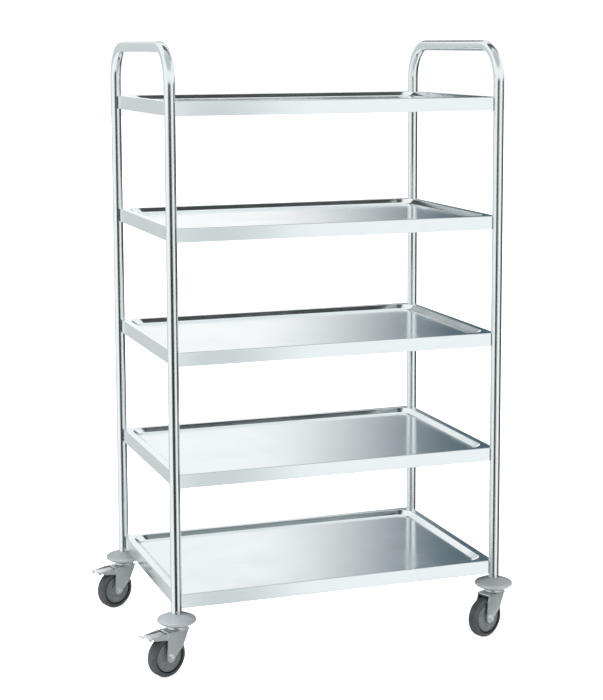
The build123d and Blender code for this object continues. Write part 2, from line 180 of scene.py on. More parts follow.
SHOE_START = 54               # degrees above the axle's level, towards the back
SHOE_END = 70
SHOE_STEPS = 8
SHOE_HALF_WIDTH = 11 * MM
WEB_OUTLINE = ((-54.5, 98), (-60, 97), (-60, 106.5), (-54.5, 106.5))
WEB_HALF_WIDTH = 9 * MM

LATHE_FACETS = 72
TOUCHING = 0.001 * MM         # points nearer than this are one
FLATNESS = 90                 # how strongly large faces decide the shading of narrow bends beside them
ROUNDED_ABOVE = 38            # degrees between two faces from which their edge is rounded


# ---- Mesh helpers ----
def add_ring(bm, points):
    return [bm.verts.new(point) for point in points]


def bridge(bm, ring, other, closed=True):
    """Quads between two rings with the same number of points."""
    count = len(ring)
    for index in range(count if closed else count - 1):
        after = (index + 1) % count
        bm.faces.new((ring[index], ring[after], other[after], other[index]))


def loft(bm, rings):
    """A skin over closed rings, with a cap at each end."""
    made = [add_ring(bm, ring) for ring in rings]
    for ring, other in zip(made, made[1:]):
        bridge(bm, ring, other)
    bm.faces.new(made[0])
    bm.faces.new(made[-1])


def revolve(bm, profile, facets=LATHE_FACETS, closed=False, wave=None):
    """Turns (radius, height) points about Z. A closed profile makes a ring with a hole through it.
    A wave lifts points by an amount that depends on radius, height and angle."""
    rings = []
    for radius, height in profile:
        ring = []
        for index in range(facets):
            angle = 2 * pi * index / facets
            lift = wave(radius, height, angle) if wave else 0.0
            ring.append((radius * cos(angle), radius * sin(angle), height + lift))
        rings.append(add_ring(bm, ring))
    pairs = list(zip(rings, rings[1:]))
    if closed:
        pairs.append((rings[-1], rings[0]))
    for ring, other in pairs:
        bridge(bm, ring, other)
    if not closed:
        for ring, (radius, height) in ((rings[0], profile[0]), (rings[-1], profile[-1])):
            if radius > TOUCHING:
                bm.faces.new(ring)


def slab(bm, outline, across):
    """A plate with an (x, height) outline between two places across."""
    loft(bm, [[(x, y, height) for x, height in outline] for y in across])


def scaled(points):
    """Points given in millimetres, in metres."""
    return [tuple(value * MM for value in point) for point in points]


def paint_since(bm, first, index):
    """Gives a material to every face made since there were this many."""
    bm.faces.ensure_lookup_table()
    for face in bm.faces[first:]:
        face.material_index = index


def arc(centre, radius, start, end, steps):
    """Points on an arc in the profile plane, angles in degrees."""
    points = []
    for step in range(steps + 1):
        angle = radians(start + (end - start) * step / steps)
        points.append((centre[0] + radius * cos(angle), centre[1] + radius * sin(angle)))
    return points


def finish_mesh(name, bm, materials, sharp=35, matrix=None, clean=1e-7):
    """Makes the object: welds doubled points, turns the faces outwards and smooths all but sharp edges."""
    bmesh.ops.remove_doubles(bm, verts=bm.verts, dist=clean)
    bmesh.ops.dissolve_degenerate(bm, edges=bm.edges, dist=clean)
    if matrix:
        bm.transform(matrix)
    bmesh.ops.recalc_face_normals(bm, faces=bm.faces)
    mesh = bpy.data.meshes.new(name)
    bm.to_mesh(mesh)
    bm.free()
    for material in materials:
        mesh.materials.append(material)
    mesh.shade_smooth()
    mesh.set_sharp_from_angle(angle=radians(sharp))
    piece = bpy.data.objects.new(name, mesh)
    bpy.context.scene.collection.objects.link(piece)
    return piece


def weigh_normals(piece):
    """Keeps large flat faces flat where they meet narrow bends."""
    modifier = piece.modifiers.new("weighted_normals", "WEIGHTED_NORMAL")
    modifier.keep_sharp = True
    modifier.weight = FLATNESS


def soften_edges(piece, width):
    """Rounds the sharp edges by a small width."""
    modifier = piece.modifiers.new("edge_rounding", "BEVEL")
    modifier.width = width
    modifier.segments = 2
    modifier.limit_method = "ANGLE"
    modifier.angle_limit = radians(ROUNDED_ABOVE)
    modifier.harden_normals = False


def place(piece, body, nodes):
    """Rides on a body and stands for its CAD nodes."""
    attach(piece, body)
    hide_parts(*nodes)


# ---- Materials ----
class Shader:
    """A Principled material and its node tree."""

    def __init__(self, name, colour, metallic=0.0, roughness=0.5, **constants):
        self.material = bpy.data.materials.new(name)
        self.material.use_nodes = True
        self.tree = self.material.node_tree
        self.surface = self.tree.nodes["Principled BSDF"]
        self.surface.inputs["Base Color"].default_value = (*colour, 1)
        self.surface.inputs["Metallic"].default_value = metallic
        self.surface.inputs["Roughness"].default_value = roughness
        for socket, value in constants.items():
            self.surface.inputs[socket.replace("_", " ")].default_value = value

    def node(self, kind, **settings):
        made = self.tree.nodes.new("ShaderNode" + kind)
        for key, value in settings.items():
            setattr(made, key, value)
        return made

    def link(self, source, target):
        self.tree.links.new(source, target)

    def coordinates(self, scale, source="Object"):
        """Object or UV coordinates in metres, stretched by scale."""
        start = self.node("TexCoord")
        mapping = self.node("Mapping")
        mapping.inputs["Scale"].default_value = scale
        self.link(start.outputs[source], mapping.inputs["Vector"])
        return mapping.outputs["Vector"]

    def noise(self, scale, source="Object", detail=3.0, roughness=0.55, distortion=0.0):
        """Noise with this many grains to the metre: one number, or one for each axis."""
        stretch = scale if isinstance(scale, tuple) else (scale, scale, scale)
        vector = self.coordinates(stretch, source)
        made = self.node("TexNoise")
        made.inputs["Scale"].default_value = 1.0
        made.inputs["Detail"].default_value = detail
        made.inputs["Roughness"].default_value = roughness
        made.inputs["Distortion"].default_value = distortion
        self.link(vector, made.inputs["Vector"])
        return made.outputs["Fac"]

    def between(self, value, low, high, start=0.3, end=0.7):
        """A value from low to high as a texture runs from start to end."""
        made = self.node("MapRange")
        for socket, number in zip(("From Min", "From Max", "To Min", "To Max"), (start, end, low, high)):
            made.inputs[socket].default_value = number
        self.link(value, made.inputs["Value"])
        return made.outputs["Result"]

    def blend(self, factor, colour, other):
        """A colour that goes from one to the other with a factor."""
        made = self.node("Mix", data_type="RGBA")
        self.link(factor, made.inputs["Factor"])
        for name, value in (("A", colour), ("B", other)):
            socket = [s for s in made.inputs if s.name == name and s.type == "RGBA"][0]
            socket.default_value = (*value, 1)
        return [s for s in made.outputs if s.type == "RGBA"][0]

    def colours_from(self, texture, dark, light):
        """Colours between two tones, as a texture varies."""
        self.link(self.blend(self.between(texture, 0, 1), dark, light), self.surface.inputs["Base Color"])

    def roughness_from(self, socket):
        self.link(socket, self.surface.inputs["Roughness"])

    def bump(self, *layers):
        """Bumps stacked on each other, each a (height, strength, distance in metres)."""
        below = None
        for height, strength, distance in layers:
            made = self.node("Bump")
            made.inputs["Strength"].default_value = strength
            made.inputs["Distance"].default_value = distance
            self.link(height, made.inputs["Height"])
            if below:
                self.link(below, made.inputs["Normal"])
            below = made.outputs["Normal"]
        self.link(below, self.surface.inputs["Normal"])


STEEL = (0.83, 0.885, 0.9)
STEEL_DARK = (0.76, 0.815, 0.83)
FINE_GRAIN = 2600             # grains to the metre across and along the sheet's rolling direction
LONG_GRAIN = 14
HAIRLINE = 0.1 * MM           # depth of the finest bumps


def sheet_steel(name, grain, roughness):
    """Bright-rolled stainless sheet with a fine grain; grain is its long direction, "X" or "Y"."""
    made = Shader(name, STEEL, metallic=1.0, roughness=roughness)
    along_x = (LONG_GRAIN, FINE_GRAIN, FINE_GRAIN)
    along_y = (FINE_GRAIN, LONG_GRAIN, FINE_GRAIN)
    hairlines = made.noise(along_x if grain == "X" else along_y, detail=2)
    patches = made.noise(7, detail=2)
    waves = made.noise((3.1, 4.2, 3.7), detail=1)
    made.colours_from(hairlines, STEEL_DARK, STEEL)
    made.roughness_from(made.between(patches, roughness * 0.75, roughness * 1.35))
    made.bump((waves, 0.12, 3 * MM), (hairlines, 0.04, HAIRLINE))
    return made.material


def tube_steel():
    """Polished tube with fine lines along it."""
    made = Shader("tube_polished_steel", STEEL, metallic=1.0, roughness=0.2)
    lines = made.noise((900, 9, 1), "UV", detail=2)
    patches = made.noise((30, 6, 1), "UV", detail=2)
    made.colours_from(lines, STEEL_DARK, STEEL)
    made.roughness_from(made.between(patches, 0.18, 0.23))
    made.bump((lines, 0.03, HAIRLINE))
    return made.material


def weld_steel():
    """Rippled weld metal with a brown heat tint."""
    made = Shader("weld_metal", (0.5, 0.48, 0.45), metallic=1.0, roughness=0.4)
    ripples = made.noise((500, 500, 900), detail=3)
    made.colours_from(ripples, (0.33, 0.29, 0.26), (0.62, 0.61, 0.6))
    made.bump((ripples, 0.5, 0.6 * MM))
    return made.material


def zinc(name, colour, shade, roughness):
    """Zinc plate: soft upright streaks of tone and a dull shine."""
    made = Shader(name, colour, metallic=1.0, roughness=roughness)
    streaks = made.noise((170, 170, 30), detail=3)
    grain = made.noise(1900, detail=2)
    made.colours_from(streaks, shade, colour)
    made.roughness_from(made.between(streaks, roughness * 1.15, roughness * 0.9))
    made.bump((grain, 0.06, HAIRLINE))
    return made.material


def bumper_plastic():
    """Soft grey plastic with a fine moulded texture."""
    made = Shader("bumper_soft_plastic", (0.22, 0.25, 0.26), roughness=0.45)
    skin = made.noise(1500, detail=2)
    tone = made.noise(26, detail=3)
    made.colours_from(tone, (0.165, 0.185, 0.192), (0.2, 0.222, 0.23))
    made.roughness_from(made.between(skin, 0.36, 0.5))
    made.bump((skin, 0.2, HAIRLINE))
    return made.material


def wheel_plastic():
    """Grey polypropylene wheel centre with faint flow marks."""
    made = Shader("wheel_centre_plastic", (0.12, 0.13, 0.135), roughness=0.5, Specular_IOR_Level=0.35)
    flow = made.noise(90, detail=4, distortion=1.2)
    skin = made.noise(1400, detail=2)
    made.colours_from(flow, (0.06, 0.07, 0.073), (0.088, 0.098, 0.102))
    made.roughness_from(made.between(skin, 0.42, 0.6))
    made.bump((skin, 0.25, HAIRLINE))
    return made.material


def tyre_rubber():
    """Non-marking grey rubber with faint scuffs."""
    made = Shader("tyre_grey_rubber", (0.042, 0.047, 0.05), roughness=0.6, Specular_IOR_Level=0.25)
    scuffs = made.noise(70, detail=5, roughness=0.65)
    skin = made.noise(1700, detail=2)
    made.colours_from(scuffs, (0.022, 0.026, 0.028), (0.042, 0.047, 0.05))
    made.roughness_from(made.between(scuffs, 0.5, 0.72))
    made.bump((skin, 0.3, HAIRLINE))
    return made.material


def painted_groove_shade():
    """The same rubber painted near-black deep in the groove round each wheel centre: painted shade, with a
    faint speckle in that dark tone.
    """
    made = Shader("tyre_painted_groove_shade", (0.008, 0.009, 0.01), roughness=0.85)
    shade_speckle = made.noise(300, detail=3)
    made.colours_from(shade_speckle, (0.005, 0.006, 0.007), (0.014, 0.015, 0.016))
    made.bump((shade_speckle, 0.3, 0.2 * MM))
    return made.material


SHEET_ALONG = sheet_steel("tray_sheet_grain_along", "X", 0.13)
SHEET_ACROSS = sheet_steel("tray_sheet_grain_across", "Y", 0.13)
SHEET_DULL = sheet_steel("tray_sheet_unpolished_side", "X", 0.42)
TUBE = tube_steel()
WELD = weld_steel()
ZINC = zinc("fork_zinc_plate", (0.74, 0.79, 0.8), (0.66, 0.71, 0.72), 0.34)
BRIGHT_ZINC = zinc("fastener_zinc_plate", (0.93, 0.95, 0.95), (0.84, 0.86, 0.86), 0.36)
BALL_STEEL = zinc("ball_steel", (0.7, 0.7, 0.7), (0.6, 0.6, 0.6), 0.12)
BUMPER = bumper_plastic()
CENTRE = wheel_plastic()
RUBBER = tyre_rubber()
# near-black rubber that paints the shade deep in each wheel's groove
PAINTED_GROOVE_SHADE = painted_groove_shade()


# ---- End frames ----
def frame_path(side):
    """The tube's radius and its path as (place, direction), from the front foot to the back foot."""
    low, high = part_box("frame_" + side)
    radius = (high.x - low.x) / 2
    x = (low.x + high.x) / 2
    half_width = high.y - radius
    top = high.z - radius
    turn = top - BEND_RADIUS
    points = [(Vector((x, -half_width, low.z)), Vector((0, 0, 1)))]
    for sign, start in ((-1, 180), (1, 90)):
        centre = Vector((x, sign * (half_width - BEND_RADIUS), turn))
        for step in range(BEND_STEPS + 1):
            angle = radians(start - 90 * step / BEND_STEPS)
            outwards = Vector((0, cos(angle), sin(angle)))
            points.append((centre + outwards * BEND_RADIUS, Vector((0, sin(angle), -cos(angle)))))
    points.append((Vector((x, half_width, low.z)), Vector((0, 0, -1))))
    return radius, points


def tube_skin(bm, uv, points, lengths, radius, outer_radius):
    """One skin of the tube along its path, with UVs in metres round and along the tube."""
    across = Vector((1, 0, 0))
    turns = [2 * pi * index / TUBE_FACETS for index in range(TUBE_FACETS)]
    facet_width = 2 * pi * outer_radius / TUBE_FACETS
    rings = []
    for centre, direction in points:
        outwards = across.cross(direction)
        ring = [centre + radius * (cos(turn) * across + sin(turn) * outwards) for turn in turns]
        rings.append(add_ring(bm, ring))
    for row, (ring, other) in enumerate(zip(rings, rings[1:])):
        for index in range(TUBE_FACETS):
            after = (index + 1) % TUBE_FACETS
            face = bm.faces.new((ring[index], ring[after], other[after], other[index]))
            corners = ((index, row), (index + 1, row), (index + 1, row + 1), (index, row + 1))
            for loop, (column, line) in zip(face.loops, corners):
                loop[uv].uv = (column * facet_width, lengths[line])
    return rings


def end_frame(side):
    """One bent tube, from its front foot over the handle to its back foot, open at both ends."""
    radius, points = frame_path(side)
    lengths = [0.0]
    for (start, _), (end, _) in zip(points, points[1:]):
        lengths.append(lengths[-1] + (end - start).length)
    bm = bmesh.new()
    uv = bm.loops.layers.uv.new("metres")
    outside = tube_skin(bm, uv, points, lengths, radius, radius)
    inside = tube_skin(bm, uv, points, lengths, radius - TUBE_WALL, radius)
    for end in (0, -1):
        bridge(bm, outside[end], inside[end])
    piece = finish_mesh("end_frame_" + side, bm, [TUBE])
    place(piece, "root", ["frame_" + side])


# ---- Trays ----
def four_corners(points):
    """A ring from the points of its +x +y corner, which run from the x side to the y side."""
    ring = list(points)
    ring += [(-x, y) for x, y in reversed(points)]
    ring += [(-x, -y) for x, y in points]
    ring += [(x, -y) for x, y in reversed(points)]
    return ring


def rounded_ring(half_x, half_y, radius):
    return four_corners(arc((half_x - radius, half_y - radius), radius, 0, 90, CORNER_STEPS))


def bitten_ring(half_x, half_y, inset, bite, steps=CORNER_STEPS):
    """A rectangle's outline, inset, where each corner is cut away round the upright."""
    lean = asin(inset / bite) * 180 / pi
    return four_corners(arc((half_x, half_y), bite, 270 - lean, 180 + lean, steps))


def basin_profile(thickness):
    """(inset, height) down the basin's side, thickness below its upper face."""
    slope = atan2(BASIN_DEPTH, SLOPE_WIDTH)
    mouth = (FLANGE_WIDTH - MOUTH_BEND * tan(slope / 2), -MOUTH_BEND)
    floor = (FLANGE_WIDTH + SLOPE_WIDTH + FLOOR_BEND * tan(slope / 2), FLOOR_BEND - BASIN_DEPTH)
    points = []
    for step in range(BEND_FACETS + 1):
        angle = slope * step / BEND_FACETS
        reach = MOUTH_BEND - thickness
        points.append((mouth[0] + reach * sin(angle), mouth[1] + reach * cos(angle)))
    for step in range(BEND_FACETS + 1):
        angle = slope * (1 - step / BEND_FACETS)
        reach = FLOOR_BEND + thickness
        points.append((floor[0] - reach * sin(angle), floor[1] - reach * cos(angle)))
    points.append((floor[0] + FLOOR_MARGIN, -BASIN_DEPTH - thickness))
    return points


def apron_profile(height):
    """(inset, height) from the flange's upper face round the apron and its hem to the flange's lower face."""
    hem_bend = SHEET
    points = [(APRON_START, 0.0)]
    points += arc((APRON_BEND, -APRON_BEND), APRON_BEND, 90, 180, BEND_FACETS)
    points += arc((hem_bend, hem_bend - height), hem_bend, 180, 360, 2 * BEND_FACETS)
    points += [(2 * SHEET, HEM_HEIGHT - height), (SHEET, HEM_HEIGHT - height)]
    points += arc((APRON_BEND, -APRON_BEND), APRON_BEND - SHEET, 180, 90, BEND_FACETS)
    points += [(APRON_START, -SHEET)]
    return points


def corner_radius(inset):
    return MOUTH_CORNER - (inset - FLANGE_WIDTH) * (MOUTH_CORNER - FLOOR_CORNER) / SLOPE_WIDTH


def basin(bm, half_x, half_y, rim, bite):
    """The flange and basin as two skins, polished above and dull below, joined at the bitten corners."""
    starts = []
    for thickness, material in ((0.0, 0), (SHEET, 2)):
        edge = bitten_ring(half_x, half_y, APRON_START, bite)
        rings = [add_ring(bm, [(x, y, rim - thickness) for x, y in edge])]
        for inset, height in basin_profile(thickness):
            outline = rounded_ring(half_x - inset, half_y - inset, corner_radius(inset))
            rings.append(add_ring(bm, [(x, y, rim + height) for x, y in outline]))
        faces_before = len(bm.faces)
        for ring, other in zip(rings, rings[1:]):
            bridge(bm, ring, other)
        bm.faces.new(rings[-1])
        paint_since(bm, faces_before, material)
        starts.append(rings[0])
    for corner in range(4):
        first = corner * (CORNER_STEPS + 1)
        edge = slice(first, first + CORNER_STEPS + 1)
        bridge(bm, starts[0][edge], starts[1][edge], closed=False)


def aprons(bm, half_x, half_y, rim, bite, depth):
    """The four folded aprons, each a strip from one bitten corner to the next."""
    lines = []
    for inset, height in apron_profile(depth):
        outline = bitten_ring(half_x, half_y, inset, bite, steps=1)
        lines.append([(x, y, rim + height) for x, y in outline])
    for side in range(4):
        ends = [add_ring(bm, [line[(2 * side + end) % 8] for line in lines]) for end in (1, 2)]
        faces_before = len(bm.faces)
        bridge(bm, *ends, closed=False)
        for end in ends:
            bm.faces.new(end)
        paint_since(bm, faces_before, side % 2)


def tray(node):
    """A pressed tray between the four uprights; its aprons' grain runs along each side."""
    low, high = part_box(node)
    half_x, half_y = high.x, high.y
    rim = high.z
    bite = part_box("frame_right")[1].x - half_x + TUBE_GAP
    bm = bmesh.new()
    basin(bm, half_x, half_y, rim, bite)
    aprons(bm, half_x, half_y, rim, bite, rim - low.z)
    grains = [SHEET_ALONG, SHEET_ACROSS, SHEET_DULL]
    piece = finish_mesh("pressed_" + node, bm, grains, sharp=40, clean=1e-6)
    weigh_normals(piece)
    place(piece, "root", [node])


# ---- Casters ----
joints = {joint["name"]: joint for joint in frame["joints"]}


def caster_frame(corner):
    """The caster's own frame, on the floor under its swivel axis."""
    swivel = Vector(joints["swivel_" + corner]["pos_m"])
    across = Vector(joints["roll_" + corner]["axis"]).normalized()
    up = Vector((0, 0, 1))
    forward = across.cross(up)
    basis = Matrix((forward, across, up)).transposed().to_4x4()
    return Matrix.Translation((swivel.x, swivel.y, 0)) @ basis


def wheel_frame(corner):
    """The wheel's own frame: Z along the axle, towards the nut."""
    matrix = caster_frame(corner)
    centre = Vector(joints["roll_" + corner]["pos_m"])
    turned = matrix.to_3x3().to_4x4() @ Matrix.Rotation(radians(90), 4, "X")
    return Matrix.Translation(centre) @ turned


def box_axis(low, high):
    """A shift to the upright line through a box's middle."""
    centre = (low + high) / 2
    return Matrix.Translation((centre.x, centre.y, 0))


def bumper(corner):
    """The disc with its domed shoulder and collar, hollow round the stem and the upright's end."""
    low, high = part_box("bumper_" + corner)
    radius = (high.x - low.x) / 2
    profile = [(STEM_HOLE, low.z)]
    profile += arc((radius - UNDERSIDE_INSET, low.z + UNDERSIDE_ROUNDING), UNDERSIDE_ROUNDING, 270, 300, 3)
    profile += arc((radius - DISC_EDGE_ROUNDING, low.z + DISC_EDGE_HEIGHT), DISC_EDGE_ROUNDING, 305, 430, 12)
    edge, edge_height = profile[-1]
    collar_height = high.z - COLLAR_EDGE_DROP
    for step in range(1, SHOULDER_STEPS):
        part = step / SHOULDER_STEPS
        bulge = SHOULDER_BULGE * sin(pi * part)
        height = edge_height + (collar_height - edge_height) * part + bulge
        profile.append((edge + (COLLAR_RADIUS - edge) * part, height))
    profile += arc((COLLAR_ROUNDING_AT, high.z - COLLAR_ROUNDING), COLLAR_ROUNDING, 40, 90, 3)
    socket = low.z + SOCKET_FLOOR
    profile += [(TUBE_SOCKET, high.z), (TUBE_SOCKET, socket), (STEM_HOLE, socket)]
    bm = bmesh.new()
    revolve(bm, profile, closed=True)
    piece = finish_mesh("bumper_disc_" + corner, bm, [BUMPER], matrix=box_axis(low, high))
    place(piece, "root", ["bumper_" + corner])


def swivel_race(corner):
    """The upper race: a rounded plate with a skirt round the balls."""
    low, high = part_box("swivel_race_" + corner)
    radius = (high.x - low.x) / 2
    inside = radius - RACE_WALL
    ceiling = low.z + RACE_SKIRT
    profile = [(KINGPIN_HOLE, ceiling), (inside, ceiling), (inside, low.z)]
    profile += arc((radius - RACE_LIP, low.z + RACE_LIP), RACE_LIP, 270, 360, 3)
    profile += arc((radius - RACE_ROUNDING, high.z - RACE_ROUNDING), RACE_ROUNDING, 0, 90, 6)
    profile += [(KINGPIN_HOLE, high.z)]
    bm = bmesh.new()
    revolve(bm, profile, closed=True)
    piece = finish_mesh("upper_race_" + corner, bm, [BRIGHT_ZINC], matrix=box_axis(low, high))
    place(piece, "root", ["swivel_race_" + corner])


def along(points, height):
    """The x of a line of (x, z) points at a height, held at its ends."""
    if height <= points[0][1]:
        return points[0][0]
    for (x, z), (next_x, next_z) in zip(points, points[1:]):
        if height <= next_z:
            return x + (next_x - x) * (height - z) / (next_z - z)
    return points[-1][0]


def inside_of(outer):
    """The same open line, one sheet thickness further in."""
    inner = []
    for index, (x, inset) in enumerate(outer):
        before = outer[max(0, index - 1)]
        after = outer[min(len(outer) - 1, index + 1)]
        step_x, step_y = after[0] - before[0], after[1] - before[1]
        length = hypot(step_x, step_y) or 1.0
        inner.append((x - FORK_SHEET * step_y / length, inset + FORK_SHEET * step_x / length))
    return inner


def leg_section(back, front, height, side):
    """One level of a fork leg seen from above: flat side, crease, leaning front and curled nose."""
    curl = min(1.0, max(0.0, (height - NOSE_START + CURL_LEAD) / CURL_GROWTH))
    sweep = radians(SWEEP_PLAIN + (SWEEP_CURLED - SWEEP_PLAIN) * curl)
    nose = min(NOSE_RADIUS, 0.5 * (front - back))
    turn = front - nose * sin(sweep)
    crease = min(max(CREASE, back), turn)
    outer = []
    for part in (0.0, 0.5, 1.0):
        outer.append((back + (crease - back) * part, 0.0))
    for part in (0.33, 0.66, 1.0):
        x = crease + (turn - crease) * part
        outer.append((x, (x - crease) * CREASE_SLOPE))
    base = outer[-1][1]
    for step in range(1, NOSE_STEPS + 1):
        angle = sweep * step / NOSE_STEPS
        outer.append((turn + nose * sin(angle), base + nose * (1 - cos(angle))))
    run = NOSE_RUN * curl * min(1.0, max(0.05, (height - NOSE_START) / NOSE_GROWTH))
    outer.append((outer[-1][0] + run * cos(sweep), outer[-1][1] + run * sin(sweep)))
    return [(x, side * (FORK_OUTSIDE - inset), height) for x, inset in outer + inside_of(outer)[::-1]]


def leg_edges(trail, axle_height, back_line, height):
    """The x of a leg's back and front edges at a height. Below the axle both follow the round eye."""
    front = along(scaled(LEG_FRONT_EDGE), height)
    if height >= axle_height:
        return along(back_line, height), front
    reach = max(sqrt(max(0.0, EYE_RADIUS ** 2 - (height - axle_height) ** 2)), EYE_TIP)
    if height < LEG_FRONT_EDGE[0][1] * MM:
        front = reach - trail
    return -trail - reach, front


def fork_legs(bm, trail, axle_height, braked):
    """Both legs, each lofted from its eye round the axle up to the top plate."""
    back_line = [(BACK_AT_AXLE, axle_height)] + scaled(BRAKED_BACK_EDGE if braked else PLAIN_BACK_EDGE)
    heights = [axle_height - EYE_RADIUS * cos(radians(angle)) for angle in range(0, 91, 10)]
    heights += [height * MM for height in LEG_LEVELS]
    for side in (-1, 1):
        rings = []
        for height in heights:
            back, front = leg_edges(trail, axle_height, back_line, height)
            rings.append(leg_section(back, front, height, side))
        loft(bm, rings)


def top_plate(bm):
    """The fork's top plate with rolled edges."""
    levels = [(PLATE_ROLL[-1][0] * MM, -PLATE_DEPTH), (0.0, -PLATE_DEPTH)]
    levels += [(inset, -drop) for inset, drop in scaled(PLATE_ROLL)]
    half_x = (FORK_FRONT + FORK_BACK) / 2
    middle = (FORK_FRONT - FORK_BACK) / 2
    rings = []
    for inset, height in levels:
        outline = rounded_ring(half_x - inset, FORK_OUTSIDE - inset, PLATE_CORNER - inset)
        rings.append([(middle + x, y, FORK_TOP + height) for x, y in outline])
    loft(bm, rings)


def fork(corner):
    """The pressed fork: two legs under a top plate."""
    matrix = caster_frame(corner)
    centre = matrix.inverted() @ Vector(joints["roll_" + corner]["pos_m"])
    bm = bmesh.new()
    fork_legs(bm, -centre.x, centre.z, corner in BRAKED_CORNERS)
    top_plate(bm)
    piece = finish_mesh("pressed_fork_" + corner, bm, [ZINC], matrix=matrix, clean=2e-6)
    soften_edges(piece, 0.5 * MM)
    place(piece, "caster_" + corner, ["fork_" + corner])


def hexagon_head(bm, low, high, facets=36):
    """A nut or bolt head along Z with chamfered corners. limit is how far its corners reach at a level."""
    levels = ((low, 0.9), (low + HEAD_CHAMFER * 0.5, 1.0), (high - HEAD_CHAMFER, 1.0), (high, 0.86))
    rings = []
    for height, limit in levels:
        ring = []
        for index in range(facets):
            angle = 2 * pi * index / facets
            from_flat = (angle % (pi / 3)) - pi / 6
            reach = min(HEAD_RADIUS * cos(pi / 6) / cos(from_flat), HEAD_RADIUS * limit)
            ring.append((reach * cos(angle), reach * sin(angle), height))
        rings.append(ring)
    loft(bm, rings)


def axle_nut(corner):
    """The nut with its washer face."""
    face = FORK_OUTSIDE
    top = face + WASHER
    bm = bmesh.new()
    revolve(bm, [(0, face), (WASHER_RADIUS, face), (WASHER_RADIUS, top), (0, top)], facets=48)
    hexagon_head(bm, top, face + NUT_END)
    piece = finish_mesh("nut_and_washer_" + corner, bm, [BRIGHT_ZINC], matrix=wheel_frame(corner))
    place(piece, "caster_" + corner, ["axle_nut_" + corner])


def axle_bolt(corner):
    """The bolt: its head on the far side, and a threaded end with a rounded tip beyond the nut."""
    face = FORK_OUTSIDE
    start = -face - 0.5 * MM
    profile = [(0, start), (BOLT_RADIUS, start)]
    for turn in range(THREAD_TURNS):
        height = face + (turn - 1) * THREAD_PITCH
        profile += [(BOLT_RADIUS, height), (THREAD_ROOT, height + THREAD_PITCH / 2)]
    profile += arc((0, face + BOLT_END - BOLT_TIP_ROUNDING), BOLT_TIP_ROUNDING, 36, 90, 4)
    bm = bmesh.new()
    revolve(bm, profile, facets=32)
    hexagon_head(bm, -face - BOLT_HEAD, -face)
    piece = finish_mesh("axle_bolt_detail_" + corner, bm, [BRIGHT_ZINC], matrix=wheel_frame(corner))
    place(piece, "caster_" + corner, ["axle_bolt_" + corner])


def mirrored(half):
    """A closed wheel profile from its half on the +z side, as (radius, height) points."""
    return half + [(radius, -height) for radius, height in reversed(half)]


def ribs(radius, height, angle):
    """The raised ribs across both faces of the wheel centre's web."""
    if not RIB_SPAN[0] < radius < RIB_SPAN[1]:
        return 0.0
    side = 1 if height > 0 else -1
    return side * RIB_HEIGHT * max(0.0, cos(RIB_COUNT * angle)) ** 3


def wheel_centre(corner):
    """The wheel's hub, ribbed web and rim in one moulding."""
    bm = bmesh.new()
    revolve(bm, mirrored(scaled(CENTRE_PROFILE)), facets=2 * LATHE_FACETS, closed=True, wave=ribs)
    piece = finish_mesh("wheel_centre_" + corner, bm, [CENTRE], matrix=wheel_frame(corner))
    place(piece, "wheel_" + corner, ["wheel_core_" + corner])


def tyre(corner):
    """The tyre with round shoulders and, on each face, a groove round the wheel centre whose deep faces are
    painted near-black as shade.
    """
    low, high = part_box("tyre_" + corner)
    shoulder = ((high.z - low.z) / 2 - TYRE_SHOULDER, TYRE_HALF_WIDTH - TYRE_SHOULDER)
    half = scaled(GROOVE_PROFILE) + arc(shoulder, TYRE_SHOULDER, 90, 0, 9)
    bm = bmesh.new()
    revolve(bm, mirrored(half), facets=2 * LATHE_FACETS, closed=True)
    # faces lying wholly inside GROOVE_EDGE take the second material: painted shade deep in the groove
    for face in bm.faces:
        if max(hypot(point.co.x, point.co.y) for point in face.verts) < GROOVE_EDGE:
            face.material_index = 1
    piece = finish_mesh("rubber_tyre_" + corner, bm, [RUBBER, PAINTED_GROOVE_SHADE], matrix=wheel_frame(corner))
    place(piece, "wheel_" + corner, ["tyre_" + corner])


def pedal_rows():
    """(x, top, underside, half width) of the pressed pedal in mm, from its hub to the tip of the tread."""
    rows = [(x, top, top - ARM_THICKNESS, half_width) for x, top, half_width in PEDAL_ARM]
    for index in range(TREAD_RIDGES):
        x, top, half_width = (start + step * index for start, step in zip(TREAD_START, TREAD_STEP))
        for offset, lift in RIDGE:
            rows.append((x + offset, top + lift, top - TREAD_THICKNESS, half_width))
    rows += [(x, top, top - TIP_THICKNESS, half_width) for x, top, half_width in PEDAL_TIP]
    return rows


def tread(bm):
    """The pedal's arm and ribbed tread, with eased side edges."""
    rings = []
    for x, top, underside, half_width in scaled(pedal_rows()):
        inner = half_width - PEDAL_EDGE
        middle = (top + underside) / 2
        section = [(half_width, middle), (inner, top), (0, top), (-inner, top)]
        section += [(-half_width, middle), (-inner, underside), (0, underside), (inner, underside)]
        rings.append([(x, y, height) for y, height in section])
    loft(bm, rings)


def shoe_outline(axle):
    """The brake shoe's (x, height) outline, curved round the axle."""
    ends = (180 - SHOE_START, 180 - SHOE_END)
    under = arc(axle, SHOE_RADII[0], *ends, SHOE_STEPS)
    over = arc(axle, SHOE_RADII[1], *ends[::-1], SHOE_STEPS)
    return under + over


